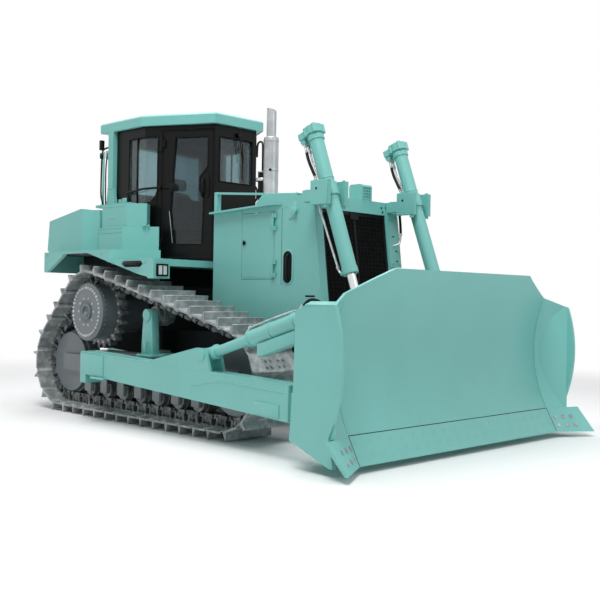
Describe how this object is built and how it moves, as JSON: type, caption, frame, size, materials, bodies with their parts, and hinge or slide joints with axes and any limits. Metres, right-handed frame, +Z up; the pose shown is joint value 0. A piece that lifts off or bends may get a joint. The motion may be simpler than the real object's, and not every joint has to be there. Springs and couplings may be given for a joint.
{
  "type": "crawler bulldozer",
  "caption": "Crawler bulldozer with elevated sprockets, an enclosed cab, outside push arms and a semi-U blade on two lift cylinders.",
  "frame": {"origin": "on the ground, on the middle plane, halfway between the drawbar's end and the blade's tips", "axes": "+X forward towards the blade, +Y to the machine's left, +Z up"},
  "size_m": [5.7939, 3.66, 3.314],
  "materials": {
    "mint_paint": "semi_gloss",
    "track_steel": "matte",
    "cab_black": "satin",
    "glass": "gloss",
    "seat_fabric": "matte",
    "console_plastic": "matte",
    "stack_steel": "satin",
    "rod_chrome": "gloss",
    "lamp_lens": "gloss"
  },
  "bodies": {
    "tractor": {"main_frame": "mint_paint", "pivot_shaft": "track_steel", "equalizer_bar": "mint_paint", "drawbar": "mint_paint", "engine_block": "track_steel", "radiator": "cab_black", "radiator_guard": "mint_paint", "grille": "cab_black", "hood": "mint_paint", "engine_sides": "mint_paint", "lamp_box": "mint_paint", "exhaust_stack": "stack_steel", "air_intake": "cab_black", "roller_frames": "track_steel", "rear_idlers": "track_steel", "front_idlers": "track_steel", "track_rollers": "track_steel", "carrier_rollers": "track_steel", "sprockets": "track_steel", "final_drives": "track_steel", "track_right": "track_steel", "track_left": "track_steel", "fenders": "mint_paint", "deck": "mint_paint", "fuel_tank": "mint_paint", "side_boxes": "mint_paint", "rops_frame": "mint_paint", "cab_frame": "cab_black", "cab_roof": "mint_paint", "cab_windows": "glass", "seat": "seat_fabric", "console": "console_plastic", "cylinder_yokes": "mint_paint", "lamps": "lamp_lens"},
    "dozer": {"blade": "mint_paint", "cutting_edge": "mint_paint", "end_bits": "mint_paint", "push_arm_right": "mint_paint", "push_arm_left": "mint_paint", "tilt_cylinder": "mint_paint", "tilt_brace": "mint_paint"},
    "barrel_right": {"lift_barrel_right": "mint_paint"},
    "rod_right": {"lift_rod_right": "rod_chrome"},
    "cab_door_right": {"cab_door_right": "cab_black", "door_glass_right": "glass"},
    "engine_door_right": {"engine_door_right": "mint_paint"},
    "barrel_left": {"lift_barrel_left": "mint_paint"},
    "rod_left": {"lift_rod_left": "rod_chrome"},
    "cab_door_left": {"cab_door_left": "cab_black", "door_glass_left": "glass"},
    "engine_door_left": {"engine_door_left": "mint_paint"}
  },
  "joints": [
    {"name": "blade_lift", "type": "hinge", "parent": "tractor", "child": "dozer", "pos_m": [-1.03, 0, 0.56], "axis": [0, -1, 0], "range_deg": [-8.8, 16.6]},
    {"name": "barrel_swing_right", "type": "hinge", "parent": "tractor", "child": "barrel_right", "pos_m": [1.54, -0.613, 2.29], "axis": [0, -1, 0], "range_deg": [-5.8, 10.8]},
    {"name": "rod_slide_right", "type": "slide", "parent": "barrel_right", "child": "rod_right", "axis": [0.3431, 0, -0.9393], "range_m": [-0.888, 0.473]},
    {"name": "barrel_swing_left", "type": "hinge", "parent": "tractor", "child": "barrel_left", "pos_m": [1.54, 0.613, 2.29], "axis": [0, -1, 0], "range_deg": [-5.8, 10.8]},
    {"name": "rod_slide_left", "type": "slide", "parent": "barrel_left", "child": "rod_left", "axis": [0.3431, 0, -0.9393], "range_m": [-0.888, 0.473]},
    {"name": "cab_door_right_hinge", "type": "hinge", "parent": "tractor", "child": "cab_door_right", "pos_m": [-1.01651, -0.61997, 2.5], "axis": [0, 0, -1], "range_deg": [0, 60]},
    {"name": "engine_door_right_hinge", "type": "hinge", "parent": "tractor", "child": "engine_door_right", "pos_m": [0.75, -0.57, 1.8], "axis": [0, 0, 1], "range_deg": [0, 110]},
    {"name": "cab_door_left_hinge", "type": "hinge", "parent": "tractor", "child": "cab_door_left", "pos_m": [-1.01651, 0.61997, 2.5], "axis": [0, 0, 1], "range_deg": [0, 60]},
    {"name": "engine_door_left_hinge", "type": "hinge", "parent": "tractor", "child": "engine_door_left", "pos_m": [0.75, 0.57, 1.8], "axis": [0, 0, -1], "range_deg": [0, 110]}
  ],
  "couplings": [
    {"joint": "barrel_swing_right", "follows": "blade_lift", "ratio": 0.63},
    {"joint": "rod_slide_right", "follows": "blade_lift", "m_per_rad": -3.04},
    {"joint": "barrel_swing_left", "follows": "blade_lift", "ratio": 0.63},
    {"joint": "rod_slide_left", "follows": "blade_lift", "m_per_rad": -3.04}
  ]
}
